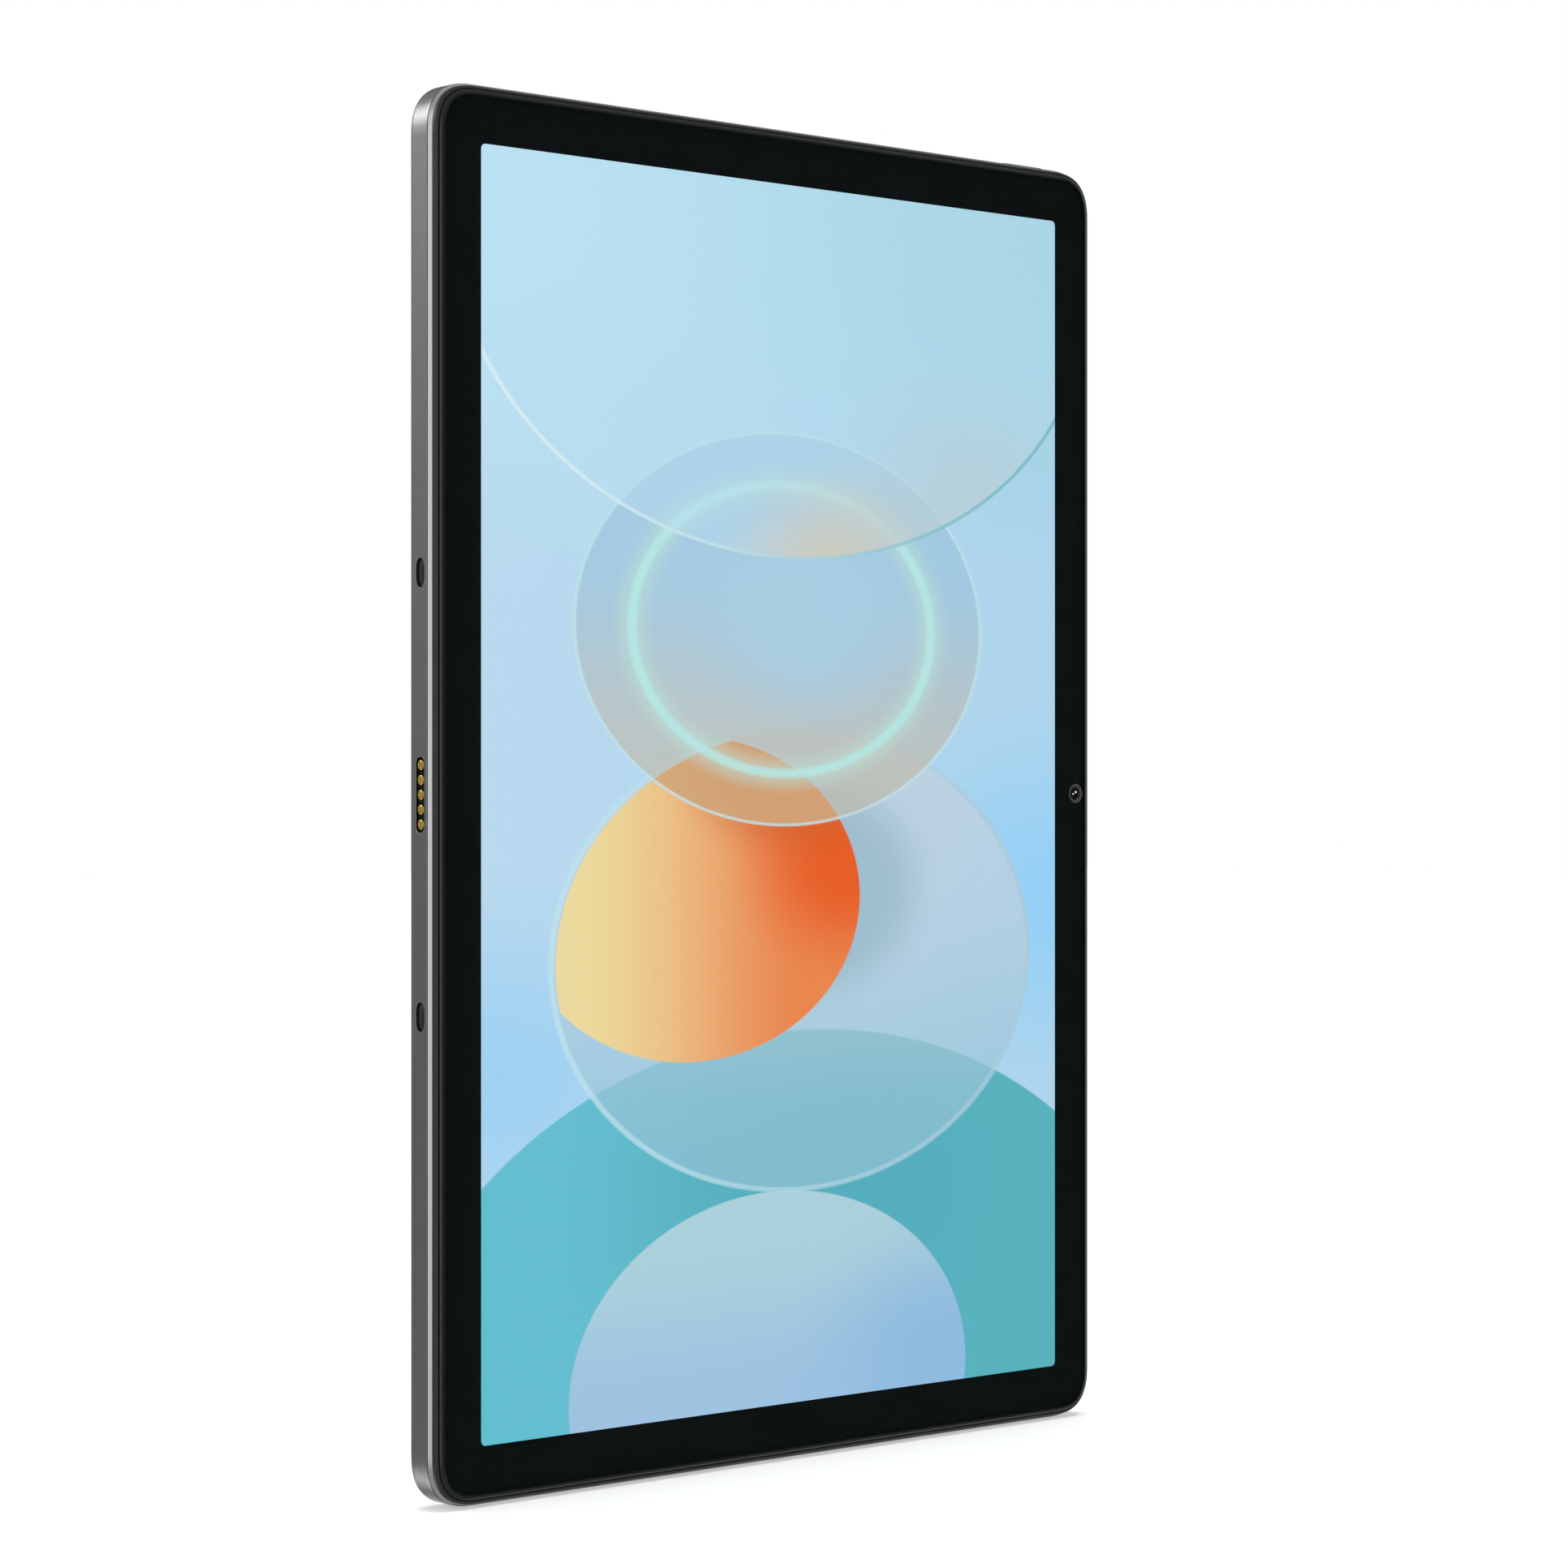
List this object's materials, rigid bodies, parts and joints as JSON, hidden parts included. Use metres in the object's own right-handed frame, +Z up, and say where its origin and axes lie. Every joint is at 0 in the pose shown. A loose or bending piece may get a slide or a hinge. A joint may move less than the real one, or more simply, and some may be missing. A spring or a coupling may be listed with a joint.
{
  "type": "tablet computer",
  "caption": "Slim tablet computer with a flat glass-fronted display, metal rear housing, side dock contacts, camera, and working power button, volume rocker and card tray.",
  "frame": {"origin": "middle of the bottom of the bounding box: the tablet stands upright on a short edge", "axes": "+X right as seen from the display side, +Y from the display towards the back, +Z up along the long side"},
  "size_m": [0.1698, 0.0092, 0.2591],
  "materials": {
    "housing": "satin",
    "bright_edge": "polished",
    "black_rim": "satin",
    "cover_glass": "polished",
    "display": "satin",
    "diffuser": "matte",
    "battery_pouch": "satin",
    "circuit_board": "satin",
    "shield_tin": "satin",
    "contact_gold": "polished",
    "ribbon": "satin",
    "dark_plastic": "matte",
    "lens_glass": "polished",
    "flash_plastic": "satin",
    "speaker_cloth": "matte",
    "magnet": "polished",
    "screw_steel": "satin"
  },
  "bodies": {
    "tablet_body": {"rear_housing": "housing", "mid_frame": "bright_edge", "front_rim": "black_rim", "cover_glass": "cover_glass", "display_panel": "display", "backlight_unit": "diffuser", "battery_cell_left": "battery_pouch", "battery_cell_right": "battery_pouch", "battery_board": "circuit_board", "battery_lead": "ribbon", "mainboard": "circuit_board", "processor_shield": "shield_tin", "radio_shield": "shield_tin", "power_shield": "shield_tin", "usb_board": "circuit_board", "usb_c_shell": "shield_tin", "usb_c_tongue": "dark_plastic", "main_flex": "ribbon", "board_screw_1": "screw_steel", "board_screw_2": "screw_steel", "board_screw_3": "screw_steel", "board_screw_4": "screw_steel", "board_screw_5": "screw_steel", "board_screw_6": "screw_steel", "pogo_pad_1": "contact_gold", "pogo_pad_2": "contact_gold", "pogo_pad_3": "contact_gold", "pogo_pad_4": "contact_gold", "pogo_pad_5": "contact_gold", "pogo_insulator": "dark_plastic", "locating_liner_upper": "dark_plastic", "dock_magnet_upper": "magnet", "locating_liner_lower": "dark_plastic", "dock_magnet_lower": "magnet", "front_camera_ring": "dark_plastic", "front_camera_lens": "lens_glass", "front_camera_module": "dark_plastic", "rear_camera_bezel": "housing", "rear_camera_lens": "lens_glass", "rear_camera_module": "dark_plastic", "flash_lens": "flash_plastic", "flash_led": "flash_plastic", "power_switch": "shield_tin", "volume_switch_up": "shield_tin", "volume_switch_down": "shield_tin", "card_reader": "shield_tin", "speaker_top_left": "dark_plastic", "speaker_mesh_top_left": "speaker_cloth", "speaker_top_right": "dark_plastic", "speaker_mesh_top_right": "speaker_cloth", "speaker_bottom_left": "dark_plastic", "speaker_mesh_bottom_left": "speaker_cloth", "speaker_bottom_right": "dark_plastic", "speaker_mesh_bottom_right": "speaker_cloth", "microphone_top": "shield_tin", "microphone_side": "shield_tin", "antenna_carrier": "dark_plastic"},
    "power_button": {"power_button": "housing"},
    "volume_rocker": {"volume_rocker": "housing"},
    "card_tray": {"card_tray": "housing"}
  },
  "joints": [
    {"name": "power_press", "type": "slide", "parent": "tablet_body", "child": "power_button", "axis": [0, 0, -1], "range_m": [0, 0.0003], "stiffness_N_per_m": 4000},
    {"name": "volume_rock", "type": "hinge", "parent": "tablet_body", "child": "volume_rocker", "pos_m": [0.0835, 0.0001, 0.228], "axis": [0, 1, 0], "range_deg": [-1.2, 1.2], "stiffness_Nm_per_rad": 0.6},
    {"name": "tray_slide", "type": "slide", "parent": "tablet_body", "child": "card_tray", "axis": [1, 0, 0], "range_m": [0, 0.018]}
  ]
}
